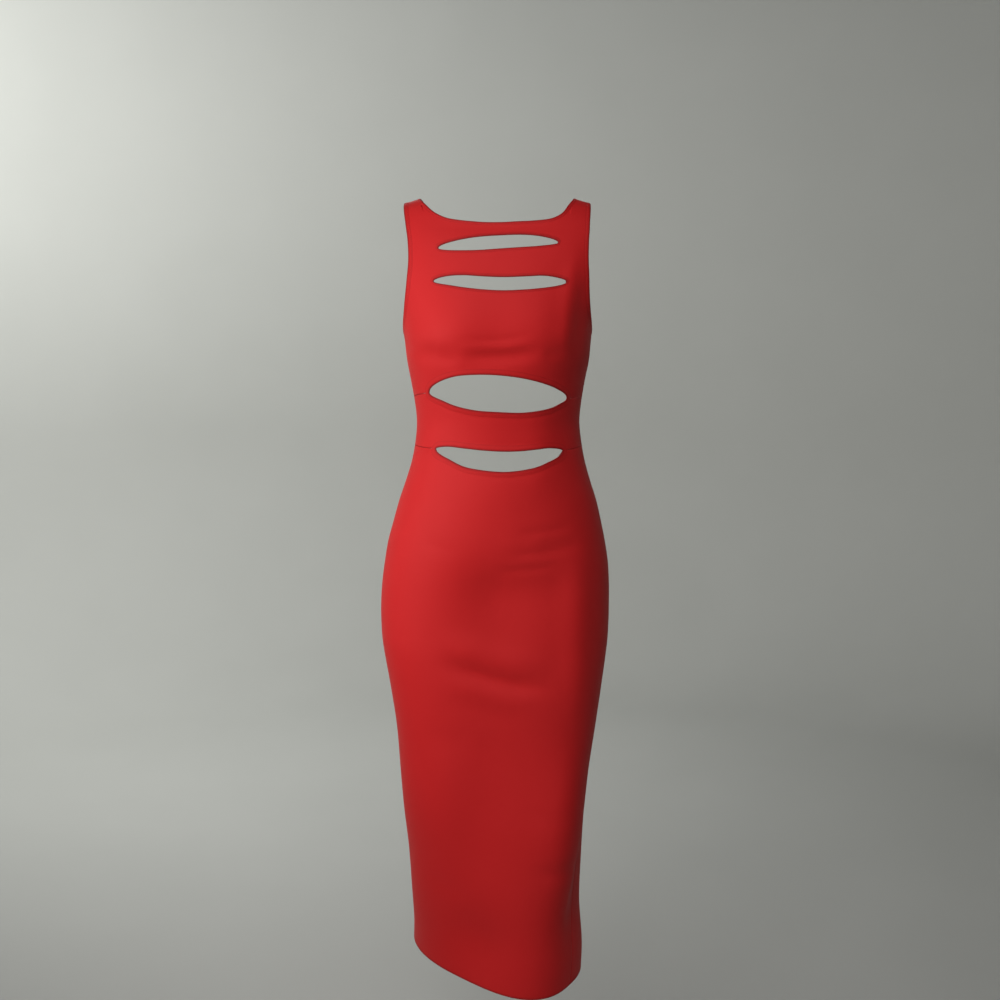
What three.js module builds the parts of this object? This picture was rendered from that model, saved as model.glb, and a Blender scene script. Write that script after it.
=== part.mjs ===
import * as THREE from 'three';

// Driving sizes in mm and degrees. Z is up, the front faces -Y, +X is the wearer's left,
// and the origin lies midway between the tops of the two shoulder straps.
const clothThickness = 1.5;
const seamGap = 0.3;
const bandThickness = 0.9;
const bandClearance = 0.6;
const neckBandWidth = 5.5;
const armholeBandWidth = 7.5;
const slitBandWidth = 4.5;
const cutoutBandWidth = 8.5;

const strapMiddle = 120;
const shoulderSlope = 0.3;
const shoulderReach = 42;
const underarmDrop = 178;
const underbustSideDrop = 274;
const waistSideDrop = 342;
const hemDrop = 1105;
const hemTiltStart = 640;
const hemFrontTilt = -7;
const hemSideTilt = -14;

const clothColor = 0xc4282c;
const bandColor = 0xb52226;

// The worn form, level by level. Drop is the way down from the shoulder ridge, and height is where that lies.
const sectionColumns = ['drop', 'height', 'centreX', 'centreY', 'halfWidth', 'frontDepth', 'backDepth',
  'squareness', 'turn'];
const sectionRows = [
  [0, 2, 0, 0, 168, 0, 0, 2.6, 0],
  [7, -1, 0, 0, 168, 17, 16, 2.6, 0],
  [15, -9, 0, 0, 168, 36, 34, 2.6, 0],
  [25, -24, 0.4, 0, 168, 53, 50, 2.6, 0],
  [50, -50, 1.4, 0, 166, 72, 66, 2.6, 0],
  [80, -80, 1.8, 0, 160, 86, 76, 2.6, 0],
  [110, -110, 1.3, 0, 152, 96, 82, 2.6, 0],
  [140, -140, 0.4, 0, 142, 104, 86, 2.6, 0],
  [165, -165, 0.3, 0, 135.5, 109, 87, 2.5, 0],
  [190, -190, 0.8, 0, 132.3, 111, 87, 2.45, 0],
  [220, -220, 1.1, 0, 129.6, 107, 84, 2.3, 0],
  [250, -250, 0.9, 0, 124.2, 99, 79, 2.15, 0],
  [280, -280, 1.1, 0, 119.4, 90, 73, 2.1, 0],
  [308, -308, 1.2, 0, 116.9, 84, 68, 2.05, 0],
  [336, -336, 1.5, 0, 119.4, 82, 68, 2.05, 0],
  [365, -365, 1.4, 0, 124.8, 84, 74, 2.05, 0],
  [395, -395, 1, 0, 133.7, 88, 84, 2.05, 0],
  [424, -424, 0.6, 0, 143.3, 93, 96, 2.05, 0],
  [454, -454, -0.2, 0, 151.1, 98, 106, 2.05, 0],
  [483, -483, -1.2, 0, 158.1, 102, 114, 2.05, 0],
  [513, -513, -1.5, 0, 163.1, 105, 118, 2.08, 0],
  [543, -543, -2.5, 0, 166.2, 106, 119, 2.12, 0],
  [574, -574, -3.4, 0, 167.5, 106, 117, 2.18, 0],
  [604, -604, -3.6, 0, 167.2, 105, 112, 2.3, 0],
  [634, -634, -3.4, 0, 165.2, 104, 106, 2.45, 0],
  [696, -696, -2, -2, 155.5, 101, 96, 2.75, -2],
  [758, -758, -1.2, -5, 146.2, 98, 90, 2.95, -5],
  [820, -820, -2.7, -10, 138.3, 96, 86, 3.05, -10],
  [883, -883, -3.7, -16, 131.3, 94, 84, 3.05, -16],
  [947, -947, -2.9, -22, 126.3, 92, 84, 2.95, -22],
  [1011, -1011, -3.2, -28, 125.1, 90, 86, 2.8, -28],
  [1070, -1070, -0.5, -33, 129.1, 89, 88, 2.65, -33],
  [1105, -1105, -1.8, -35, 131.2, 88, 88, 2.6, -36],
];

// Soft swellings of the form, measured out from it, and hollows where the rise is below 0: the bust,
// the belly, the lap, the knees, the shins and the seat. Side is -1 on the front and 1 on the back.
const swellingColumns = ['side', 'x', 'drop', 'spreadX', 'spreadDrop', 'rise'];
const swellingRows = [
  [-1, -64, 176, 46, 38, 6],
  [-1, 66, 174, 45, 38, 4],
  [-1, 0, 204, 56, 36, -3],
  [-1, 5, 395, 60, 36, 3],
  [-1, 2, 566, 92, 88, -16],
  [-1, -78, 850, 46, 95, 7],
  [-1, 95, 890, 40, 90, 9],
  [-1, -20, 1046, 52, 50, -9],
  [1, -72, 548, 52, 56, 8],
  [1, 70, 550, 52, 56, 8],
];

// The largest folds, as soft troughs (depth below 0) and ridges along a bowed line.
const foldColumns = ['side', 'fromX', 'fromDrop', 'toX', 'toDrop', 'bow', 'width', 'depth'];
const foldRows = [
  [-1, -62, 212, 68, 206, 6, 11, -3.2],
  [-1, -95, 602, 85, 650, 7, 20, 3.6],
  [-1, -94, 636, 90, 683, 8, 13, -3.7],
  [-1, -90, 662, 62, 706, 3, 14, 1.1],
  [-1, -70, 530, 160, 526, 8, 40, -5],
  [-1, 112, 56, 90, 236, 7, 11, 2.2],
  [-1, 118, 430, 112, 770, 0, 22, 4.5],
  [-1, 110, 740, 84, 1060, 0, 24, 4],
  [-1, 52, 474, 130, 480, 0, 10, -1.8],
  [-1, 44, 934, 122, 938, 0, 10, -1.8],
  [1, -96, 628, 84, 612, -7, 20, -5],
  [1, -70, 596, 96, 640, -6, 17, -3.4],
  [1, -58, 436, 62, 428, -6, 18, -3.2],
  [1, -84, 700, 40, 676, -5, 22, -3],
];

// Half width of the cloth between the two armhole edges, the same on the front and the back.
const armholeColumns = ['drop', 'x'];
const armholeRows = [
  [0, 131.5], [10, 131], [19, 129.8], [27, 128.6], [42, 127.5], [55, 126.2], [83, 125.4],
  [110, 126.8], [137, 128.2], [152, 129.5], [165, 131.4], [174, 132.8],
];

// The front neckline, from one strap's neck side to the other's.
const necklineColumns = ['x', 'drop'];
const necklineRows = [
  [-108.5, 0], [-99, 15.6], [-83, 24.4], [-66, 29.8], [-28, 33.8], [0, 34.7], [27, 33.6],
  [53, 32.1], [75, 29.2], [90, 23], [99, 15.6], [107.5, 0],
];

// The open back: its side edges down the straps, then its scoop below the waist seam.
const openBackColumns = ['drop', 'x'];
const openBackRows = [
  [0, 108], [15, 103], [40, 99.5], [80, 99], [115, 102], [178, 106], [230, 108.5], [262, 109], [300, 108],
  [342, 103],
];
const scoopColumns = ['x', 'drop'];
const scoopRows = [
  [-103, 342], [-98, 354], [-88, 370], [-68, 388], [-38, 399], [0, 402], [38, 399], [68, 388], [88, 370],
  [98, 354], [103, 342],
];

// The four cut-outs of the front, from their left corner to their right corner.
const cutoutColumns = ['x', 'top', 'bottom'];
const cutoutRows = {
  chest_slit: [
    [-80, 67.8, 67.8], [-67, 60.4, 70.2], [-45, 55.2, 70.6], [-23, 52.1, 70.1], [4, 50.3, 68.2],
    [31, 49.4, 66.3], [53, 50.6, 64.8], [66, 52.8, 63.4], [83, 60, 60],
  ],
  upper_slit: [
    [-86, 112.6, 112.6], [-67, 105.8, 117.3], [-45, 104.7, 120.8], [-18, 106.4, 123.6], [10, 107.3, 124.8],
    [41, 106.2, 123.4], [60, 105.3, 121.6], [76, 106.8, 119.4], [93.5, 113.6, 113.6],
  ],
  underbust_cutout: [
    [-94.5, 264.2, 264.2], [-79, 248.4, 273.4], [-57, 240.8, 281.7], [-30, 238.5, 287.3],
    [0, 239.2, 289.4], [31, 242.8, 290.5], [53, 247.6, 288.4], [75, 255, 284.2], [87, 261.4, 279.2],
    [97, 272.2, 272.2],
  ],
  waist_cutout: [
    [-86, 343.2, 343.2], [-69, 339.5, 355.8], [-46, 341.2, 366], [-20, 343.5, 370.6], [8, 345, 372.7],
    [31, 344.7, 371.2], [54, 342.9, 366.9], [72, 341.6, 360], [91.5, 346.2, 346.2],
  ],
};

const sideSteps = 5;
const cutoutSteps = 26;
const backStripSteps = 4;
const scoopSteps = 20;

function smoothStep(value) {
  const t = Math.min(1, Math.max(0, value));
  return t * t * (3 - 2 * t);
}

function readTable(columns, rows) {
  return rows.map((row) => Object.fromEntries(columns.map((name, index) => [name, row[index]])));
}

// A smooth curve through the rows of a table.
function curveThrough(table, key, name, at) {
  const last = table.length - 1;
  let index = 0;
  while (index < last - 1 && at > table[index + 1][key]) {
    index += 1;
  }
  const here = table[index];
  const next = table[index + 1];
  const span = next[key] - here[key];
  const t = Math.min(1, Math.max(0, (at - here[key]) / span));
  const slope = (row) => {
    const before = table[Math.max(0, row - 1)];
    const after = table[Math.min(last, row + 1)];
    return (after[name] - before[name]) / (after[key] - before[key]);
  };
  const t2 = t * t;
  const t3 = t2 * t;
  return (2 * t3 - 3 * t2 + 1) * here[name] + (t3 - 2 * t2 + t) * span * slope(index)
    + (3 * t2 - 2 * t3) * next[name] + (t3 - t2) * span * slope(index + 1);
}

// The way across a table from its first x to its last, as 0 to pi, so that steps are close at both ends.
function sweepOf(table, x) {
  const left = table[0].x;
  const right = table[table.length - 1].x;
  return Math.acos(Math.min(1, Math.max(-1, (left + right - 2 * x) / (right - left))));
}

function withSweep(columns, rows) {
  const table = readTable(columns, rows);
  return table.map((row) => ({ ...row, sweep: sweepOf(table, row.x) }));
}

function xAtSweep(table, sweep) {
  const left = table[0].x;
  const right = table[table.length - 1].x;
  return (left + right - (right - left) * Math.cos(sweep)) / 2;
}

const sections = readTable(sectionColumns, sectionRows);
const swellings = readTable(swellingColumns, swellingRows);
const folds = readTable(foldColumns, foldRows);
const armhole = readTable(armholeColumns, armholeRows);
const openBack = readTable(openBackColumns, openBackRows);
const neckline = withSweep(necklineColumns, necklineRows);
const scoop = withSweep(scoopColumns, scoopRows);
const cutouts = Object.fromEntries(
  Object.entries(cutoutRows).map(([name, rows]) => [name, withSweep(cutoutColumns, rows)]),
);

function sectionAt(drop) {
  return Object.fromEntries(sectionColumns.map((name) => [name, curveThrough(sections, 'drop', name, drop)]));
}

// The girth angle of a point that lies x across at a level: 0 at centre front, 90 degrees at the side.
function angleAtX(x, drop, onBack = false) {
  const section = sectionAt(drop);
  const across = Math.min(1, Math.abs(x - section.centreX) / section.halfWidth);
  const along = (1 - across ** section.squareness) ** (1 / section.squareness);
  const fromFront = Math.atan2(across, along);
  return Math.sign(x - section.centreX) * (onBack ? Math.PI - fromFront : fromFront);
}

// A point of the plain form at a girth angle and a level.
function plainPoint(angle, drop) {
  const section = sectionAt(drop);
  const sine = Math.sin(angle);
  const cosine = Math.cos(angle);
  const square = section.squareness;
  const reach = (Math.abs(sine) ** square + Math.abs(cosine) ** square) ** (-1 / square);
  const depth = cosine > 0 ? section.frontDepth : section.backDepth;
  const across = section.halfWidth * sine * reach;
  const along = -depth * cosine * reach;
  const turn = THREE.MathUtils.degToRad(section.turn);
  const tilt = ((Math.max(0, drop - hemTiltStart)) / (hemDrop - hemTiltStart)) ** 2
    * (hemFrontTilt * cosine + hemSideTilt * sine) * reach;
  const ridge = shoulderSlope * (strapMiddle - Math.abs(across)) * (1 - smoothStep(drop / shoulderReach));
  return new THREE.Vector3(
    section.centreX + across * Math.cos(turn) - along * Math.sin(turn),
    section.centreY + across * Math.sin(turn) + along * Math.cos(turn),
    section.height + tilt + ridge,
  );
}

// How far the cloth stands out from the plain form: the swellings and the folds together.
function reliefAt(angle, drop, point) {
  const side = Math.cos(angle) > 0 ? -1 : 1;
  const nearSide = smoothStep(Math.abs(Math.cos(angle)) / 0.35);
  let relief = 0;
  for (const swelling of swellings) {
    if (swelling.side === side) {
      const across = (point.x - swelling.x) / swelling.spreadX;
      const down = (drop - swelling.drop) / swelling.spreadDrop;
      relief += swelling.rise * Math.exp(-(across ** 2) - down ** 2);
    }
  }
  for (const fold of folds) {
    if (fold.side === side) {
      const alongX = fold.toX - fold.fromX;
      const alongDrop = fold.toDrop - fold.fromDrop;
      const length = Math.hypot(alongX, alongDrop);
      const t = ((point.x - fold.fromX) * alongX + (drop - fold.fromDrop) * alongDrop) / length ** 2;
      const away = ((drop - fold.fromDrop) * alongX - (point.x - fold.fromX) * alongDrop) / length;
      const bowed = away - fold.bow * 4 * t * (1 - t);
      const fade = smoothStep(t / 0.35) * smoothStep((1 - t) / 0.35);
      relief += fold.depth * fade * Math.exp(-((bowed / fold.width) ** 2));
    }
  }
  return relief * nearSide;
}

// A point of the cloth's middle, moved out along its normal.
function clothPoint(angle, drop, out) {
  const step = 0.002;
  const reach = 0.25;
  const upper = Math.max(0, drop - reach);
  const lower = drop + reach;
  const alongGirth = plainPoint(angle + step, drop).sub(plainPoint(angle - step, drop));
  const alongDrop = plainPoint(angle, lower).sub(plainPoint(angle, upper));
  const normal = new THREE.Vector3().crossVectors(alongDrop, alongGirth).normalize();
  const point = plainPoint(angle, drop);
  return point.addScaledVector(normal, out + reliefAt(angle, drop, point));
}

// The two directions of the form at a point: round its girth and down it.
function formDirections(angle, drop) {
  const step = 0.002;
  const reach = 0.25;
  const upper = Math.max(0, drop - reach);
  const lower = drop + reach;
  return {
    girth: clothPoint(angle + step, drop, 0).sub(clothPoint(angle - step, drop, 0)).divideScalar(2 * step),
    down: clothPoint(angle, lower, 0).sub(clothPoint(angle, upper, 0)).divideScalar(lower - upper),
  };
}

function addSolid(group, name, color, roughness, corners, triangles) {
  const geometry = new THREE.BufferGeometry();
  const flat = corners.flatMap((corner) => [corner.x, corner.y, corner.z]);
  geometry.setAttribute('position', new THREE.Float32BufferAttribute(flat, 3));
  geometry.setIndex(triangles.flat());
  geometry.computeVertexNormals();
  const material = new THREE.MeshStandardMaterial({ color, roughness, metalness: 0 });
  const mesh = new THREE.Mesh(geometry, material);
  mesh.name = name;
  group.add(mesh);
}

// A cloth wall over patches of rows of [angle, drop]. Patches share the points that they have in common,
// and every free edge is closed by a rim.
function addWall(group, name, patches) {
  const places = [];
  const known = new Map();
  const placeOf = ([angle, drop]) => {
    const key = `${angle.toFixed(6)} ${drop.toFixed(4)}`;
    if (!known.has(key)) {
      known.set(key, places.length);
      places.push([angle, drop]);
    }
    return known.get(key);
  };
  const faces = [];
  for (const rows of patches) {
    for (let row = 0; row + 1 < rows.length; row += 1) {
      for (let column = 0; column + 1 < rows[row].length; column += 1) {
        const upLeft = placeOf(rows[row][column]);
        const upRight = placeOf(rows[row][column + 1]);
        const downLeft = placeOf(rows[row + 1][column]);
        const downRight = placeOf(rows[row + 1][column + 1]);
        faces.push([upLeft, downLeft, downRight], [upLeft, downRight, upRight]);
      }
    }
  }
  const solidFaces = faces.filter(([a, b, c]) => a !== b && b !== c && c !== a);
  const outer = places.map(([angle, drop]) => clothPoint(angle, drop, clothThickness / 2));
  const inner = places.map(([angle, drop]) => clothPoint(angle, drop, -clothThickness / 2));
  const count = places.length;
  const edges = new Set(solidFaces.flatMap(([a, b, c]) => [`${a} ${b}`, `${b} ${c}`, `${c} ${a}`]));
  const triangles = [];
  for (const [a, b, c] of solidFaces) {
    triangles.push([a, b, c], [a + count, c + count, b + count]);
    for (const [from, to] of [[a, b], [b, c], [c, a]]) {
      if (!edges.has(`${to} ${from}`)) {
        triangles.push([to, from, from + count], [to, from + count, to + count]);
      }
    }
  }
  addSolid(group, name, clothColor, 0.62, outer.concat(inner), triangles);
}

// A narrow band that lies on the cloth along a closed edge. The edge is a loop of [angle, drop].
function addEdgeBand(group, name, loop, width, clothSide) {
  const count = loop.length;
  const low = clothThickness / 2 + bandClearance;
  const high = low + bandThickness;
  const onEdge = loop.map(([angle, drop]) => clothPoint(angle, drop, 0));
  const corners = [];
  loop.forEach(([angle, drop], index) => {
    const along = onEdge[(index + 1) % count].clone().sub(onEdge[(index + count - 1) % count]).normalize();
    const { girth, down } = formDirections(angle, drop);
    const normal = new THREE.Vector3().crossVectors(down, girth).normalize();
    const across = new THREE.Vector3().crossVectors(normal, along).multiplyScalar(clothSide * width);
    const farAngle = angle + across.dot(girth) / girth.lengthSq();
    const farDrop = Math.max(0, drop + across.dot(down) / down.lengthSq());
    corners.push(
      clothPoint(angle, drop, low),
      clothPoint(angle, drop, high),
      clothPoint(farAngle, farDrop, high),
      clothPoint(farAngle, farDrop, low),
    );
  });
  const triangles = [];
  for (let index = 0; index < count; index += 1) {
    const here = index * 4;
    const next = ((index + 1) % count) * 4;
    for (let side = 0; side < 4; side += 1) {
      const after = (side + 1) % 4;
      const quad = [here + side, next + side, next + after, here + after];
      const turned = clothSide > 0 ? quad : [quad[3], quad[2], quad[1], quad[0]];
      triangles.push([turned[0], turned[1], turned[2]], [turned[0], turned[2], turned[3]]);
    }
  }
  addSolid(group, name, bandColor, 0.58, corners, triangles);
}

// Steps from one place to another, both ends included.
function evenly(from, to, steps) {
  return Array.from({ length: steps + 1 }, (_, index) => [
    from[0] + ((to[0] - from[0]) * index) / steps,
    from[1] + ((to[1] - from[1]) * index) / steps,
  ]);
}

// Rows between two curves that have the same number of places.
function rowsBetween(upper, lower, shares) {
  return shares.map((share) => upper.map(([angle, drop], index) => [
    angle + (lower[index][0] - angle) * share,
    drop + (lower[index][1] - drop) * share,
  ]));
}

function evenShares(steps) {
  return Array.from({ length: steps + 1 }, (_, index) => index / steps);
}

// The angle that a length round the girth takes at the side of the form.
function sideShare(drop, length) {
  return length / Math.max(30, sectionAt(drop).frontDepth);
}

// The free side edge of a panel: the armhole's edge above the underarm, the side seam below it.
function sideAngle(drop, side, onBack) {
  const seam = Math.PI / 2 - (onBack ? -1 : 1) * sideShare(drop, seamGap / 2);
  if (drop >= underarmDrop) {
    return side * seam;
  }
  const last = armhole[armhole.length - 1];
  const half = sectionAt(drop).halfWidth;
  const edge = drop > last.drop
    ? last.x + (half - last.x) * ((drop - last.drop) / (underarmDrop - last.drop)) ** 0.5
    : curveThrough(armhole, 'drop', 'x', drop);
  const angle = Math.abs(angleAtX(edge, drop, onBack));
  return side * (onBack ? Math.max(angle, seam) : Math.min(angle, seam));
}

// One curve across a front panel: side edge, cut-out corner, cut-out edge, other corner, other side edge.
function frontCurve(table, name, leftSideDrop, rightSideDrop, shift) {
  const steps = Array.from({ length: cutoutSteps + 1 }, (_, index) => (Math.PI * index) / cutoutSteps);
  const middle = steps.map((sweep) => {
    const x = xAtSweep(table, sweep);
    const drop = curveThrough(table, 'sweep', name, sweep) + shift;
    return [angleAtX(x, drop), drop];
  });
  const left = evenly([sideAngle(leftSideDrop, -1, false), leftSideDrop + shift], middle[0], sideSteps);
  const right = evenly(middle[cutoutSteps], [sideAngle(rightSideDrop, 1, false), rightSideDrop + shift], sideSteps);
  return [...left.slice(0, -1), ...middle, ...right.slice(1)];
}

// A level curve across a front panel, with its columns in line with a cut-out's.
function levelCurve(table, drop) {
  return frontCurve(table.map((row) => ({ ...row, level: drop })), 'level', drop, drop, 0);
}

// Puts the side ends of every row on the panel's own side edge.
function fitSides(rows, onBack) {
  return rows.map((row) => row.map(([angle, drop], index) => {
    const left = sideAngle(row[0][1], -1, onBack);
    const right = sideAngle(row[row.length - 1][1], 1, onBack);
    const share = index < sideSteps ? 1 - index / sideSteps : 0;
    const otherShare = index > row.length - 1 - sideSteps ? 1 - (row.length - 1 - index) / sideSteps : 0;
    return [angle + (left - row[0][0]) * share + (right - row[row.length - 1][0]) * otherShare, drop];
  }));
}

function buildFrontBodice(group) {
  const { chest_slit: chest, upper_slit: upper, underbust_cutout: underbust } = cutouts;
  const ridge = seamGap / 2;
  const top = frontCurve(neckline, 'drop', ridge, ridge, 0).map(([angle, drop]) => [angle, Math.max(ridge, drop)]);
  const chestTop = frontCurve(chest, 'top', 66, 62, 0);
  const chestBottom = frontCurve(chest, 'bottom', 66, 62, 0);
  const upperTop = frontCurve(upper, 'top', 112, 112, 0);
  const upperBottom = frontCurve(upper, 'bottom', 112, 112, 0);
  const bust = levelCurve(upper, underarmDrop);
  const bottom = frontCurve(underbust, 'top', underbustSideDrop, underbustSideDrop, -seamGap / 2);
  addWall(group, 'front_bodice', [
    fitSides(rowsBetween(top, chestTop, evenShares(6)), false),
    fitSides(rowsBetween(chestBottom, upperTop, evenShares(3)), false),
    fitSides(rowsBetween(upperBottom, bust, [0, 0.13, 0.27, 0.42, 0.57, 0.71, 0.83, 0.93, 1]), false),
    fitSides(rowsBetween(bust, bottom, evenShares(8)), false),
  ]);
}

function buildFrontMidriff(group) {
  const { underbust_cutout: underbust, waist_cutout: waist } = cutouts;
  const top = frontCurve(underbust, 'bottom', underbustSideDrop, underbustSideDrop, seamGap / 2);
  const bottom = frontCurve(waist, 'top', waistSideDrop, waistSideDrop, -seamGap / 2);
  addWall(group, 'front_midriff', [fitSides(rowsBetween(top, bottom, evenShares(5)), false)]);
}

const skirtShares = [0, 0.012, 0.03, 0.055, 0.085, 0.12, 0.155, 0.19, 0.22, 0.25, 0.278, 0.304, 0.325, 0.343,
  0.36, 0.377, 0.394, 0.411, 0.428, 0.446, 0.466, 0.5, 0.55, 0.61, 0.67, 0.73, 0.765, 0.782, 0.805, 0.86,
  0.915, 0.96, 1];

function buildFrontSkirt(group) {
  const top = frontCurve(cutouts.waist_cutout, 'bottom', waistSideDrop, waistSideDrop, seamGap / 2);
  const last = top.length - 1;
  const hem = top.map((_, index) => [(-1 + (2 * index) / last) * sideAngle(hemDrop, 1, false), hemDrop]);
  addWall(group, 'front_skirt', [fitSides(rowsBetween(top, hem, skirtShares), false)]);
}

// A strap's open-back edge as an angle.
function openBackAngle(drop, side) {
  return angleAtX(side * curveThrough(openBack, 'drop', 'x', drop), drop, true);
}

function sideBackRows(side, ridge) {
  const drops = [ridge, 3.5, 7, 11, 15, 20, 26, 34, 46, 60, 78, 98, 120, 140, 156, 167, 174, underarmDrop,
    192, 210, 230, 250, underbustSideDrop, 296, 318, waistSideDrop - seamGap / 2];
  return drops.map((drop) => evenly(
    [sideAngle(drop, side, true), drop],
    [openBackAngle(drop, side), drop],
    backStripSteps,
  ));
}

function buildSideBack(group, name, side) {
  const rows = sideBackRows(side, seamGap / 2);
  addWall(group, name, [side > 0 ? rows : rows.map((row) => row.slice().reverse())]);
}

// Angles on the back run from the +X side, past 180 degrees, to the -X side.
function pastBack(angle) {
  return angle < 0 ? angle + 2 * Math.PI : angle;
}

function scoopCurve(shift) {
  const steps = Array.from({ length: scoopSteps + 1 }, (_, index) => (Math.PI * index) / scoopSteps);
  return steps.map((sweep) => {
    const x = xAtSweep(scoop, Math.PI - sweep);
    const drop = curveThrough(scoop, 'sweep', 'drop', Math.PI - sweep) + shift;
    return [pastBack(angleAtX(x, drop, true)), drop];
  });
}

function buildBackSkirt(group) {
  const middle = scoopCurve(seamGap / 2);
  const sideDrop = waistSideDrop + seamGap / 2;
  const right = evenly([sideAngle(sideDrop, 1, true), sideDrop], middle[0], sideSteps);
  const left = evenly(middle[scoopSteps], [pastBack(sideAngle(sideDrop, -1, true)), sideDrop], sideSteps);
  const top = [...right.slice(0, -1), ...middle, ...left.slice(1)];
  const last = top.length - 1;
  const from = sideAngle(hemDrop, 1, true);
  const hem = top.map((_, index) => [from + ((2 * Math.PI - 2 * from) * index) / last, hemDrop]);
  const shares = skirtShares.filter((share) => ![0.12, 0.19, 0.25].includes(share));
  const rows = rowsBetween(top, hem, shares);
  addWall(group, 'back_skirt', [rows.map((row) => row.map(([angle, drop], index) => {
    const share = index < sideSteps ? 1 - index / sideSteps : 0;
    const otherShare = index > last - sideSteps ? 1 - (last - index) / sideSteps : 0;
    const start = sideAngle(row[0][1], 1, true);
    const end = 2 * Math.PI - start;
    return [angle + (start - row[0][0]) * share + (end - row[last][0]) * otherShare, drop];
  }))]);
}

// The edge of the neck and open back, as one closed loop.
function neckLoop() {
  const front = Array.from({ length: cutoutSteps + 1 }, (_, index) => {
    const sweep = (Math.PI * index) / cutoutSteps;
    const drop = Math.max(0, curveThrough(neckline, 'sweep', 'drop', sweep));
    return [angleAtX(xAtSweep(neckline, sweep), drop), drop];
  });
  const drops = [3.5, 7, 11, 15, 20, 26, 34, 46, 60, 78, 98, 120, 140, 160, 180, 200, 220, 240, 258, 276, 296,
    318, 332];
  const rightStrap = drops.map((drop) => [openBackAngle(drop, 1), drop]);
  const leftStrap = drops.map((drop) => [openBackAngle(drop, -1), drop]).reverse();
  return [...front, ...rightStrap, ...scoopCurve(0), ...leftStrap];
}

function armholeLoop(side) {
  const drops = [0, 3.5, 7, 11, 15, 20, 26, 34, 46, 60, 78, 95, 108, 119, 128, 137, 145, 153, 161, 167, 172,
    175.5, 177.4];
  const edge = (drop, onBack) => [sideAngle(drop, side, onBack), drop];
  const front = drops.map((drop) => edge(drop, false));
  const back = drops.slice(1).map((drop) => edge(drop, true)).reverse();
  return [...front, [(side * Math.PI) / 2, underarmDrop], ...back];
}

function cutoutLoop(table) {
  const steps = Array.from({ length: cutoutSteps + 1 }, (_, index) => (Math.PI * index) / cutoutSteps);
  const edge = (name) => steps.map((sweep) => {
    const drop = curveThrough(table, 'sweep', name, sweep);
    return [angleAtX(xAtSweep(table, sweep), drop), drop];
  });
  return [...edge('top'), ...edge('bottom').slice(1, -1).reverse()];
}

function buildDress() {
  const group = new THREE.Group();
  group.name = 'bodycon_dress';
  buildFrontBodice(group);
  buildFrontMidriff(group);
  buildFrontSkirt(group);
  buildSideBack(group, 'side_back_left', 1);
  buildSideBack(group, 'side_back_right', -1);
  buildBackSkirt(group);
  addEdgeBand(group, 'neck_and_back_band', neckLoop(), neckBandWidth, -1);
  addEdgeBand(group, 'armhole_band_left', armholeLoop(1), armholeBandWidth, -1);
  addEdgeBand(group, 'armhole_band_right', armholeLoop(-1), armholeBandWidth, 1);
  for (const [name, table] of Object.entries(cutouts)) {
    const width = name.endsWith('slit') ? slitBandWidth : cutoutBandWidth;
    addEdgeBand(group, `${name}_band`, cutoutLoop(table), width, 1);
  }
  return group;
}

export default buildDress();
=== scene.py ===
import math
import bpy
import numpy as np
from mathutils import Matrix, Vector


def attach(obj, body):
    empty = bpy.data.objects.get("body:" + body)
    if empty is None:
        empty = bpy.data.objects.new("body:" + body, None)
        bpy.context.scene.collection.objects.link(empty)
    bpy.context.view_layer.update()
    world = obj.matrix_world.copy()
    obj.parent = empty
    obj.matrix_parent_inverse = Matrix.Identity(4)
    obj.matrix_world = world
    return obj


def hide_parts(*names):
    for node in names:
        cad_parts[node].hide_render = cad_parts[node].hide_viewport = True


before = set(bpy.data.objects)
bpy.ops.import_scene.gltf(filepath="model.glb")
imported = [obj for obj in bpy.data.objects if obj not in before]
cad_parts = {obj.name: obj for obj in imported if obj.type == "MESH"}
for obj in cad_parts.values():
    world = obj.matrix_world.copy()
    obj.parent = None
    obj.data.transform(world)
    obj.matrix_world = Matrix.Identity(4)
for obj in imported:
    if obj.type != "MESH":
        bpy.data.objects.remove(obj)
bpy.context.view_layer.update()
print("frame loaded:", ", ".join(sorted(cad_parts)))

mm = 0.001  # the tables below are in millimetres, as the dress is measured

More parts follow.
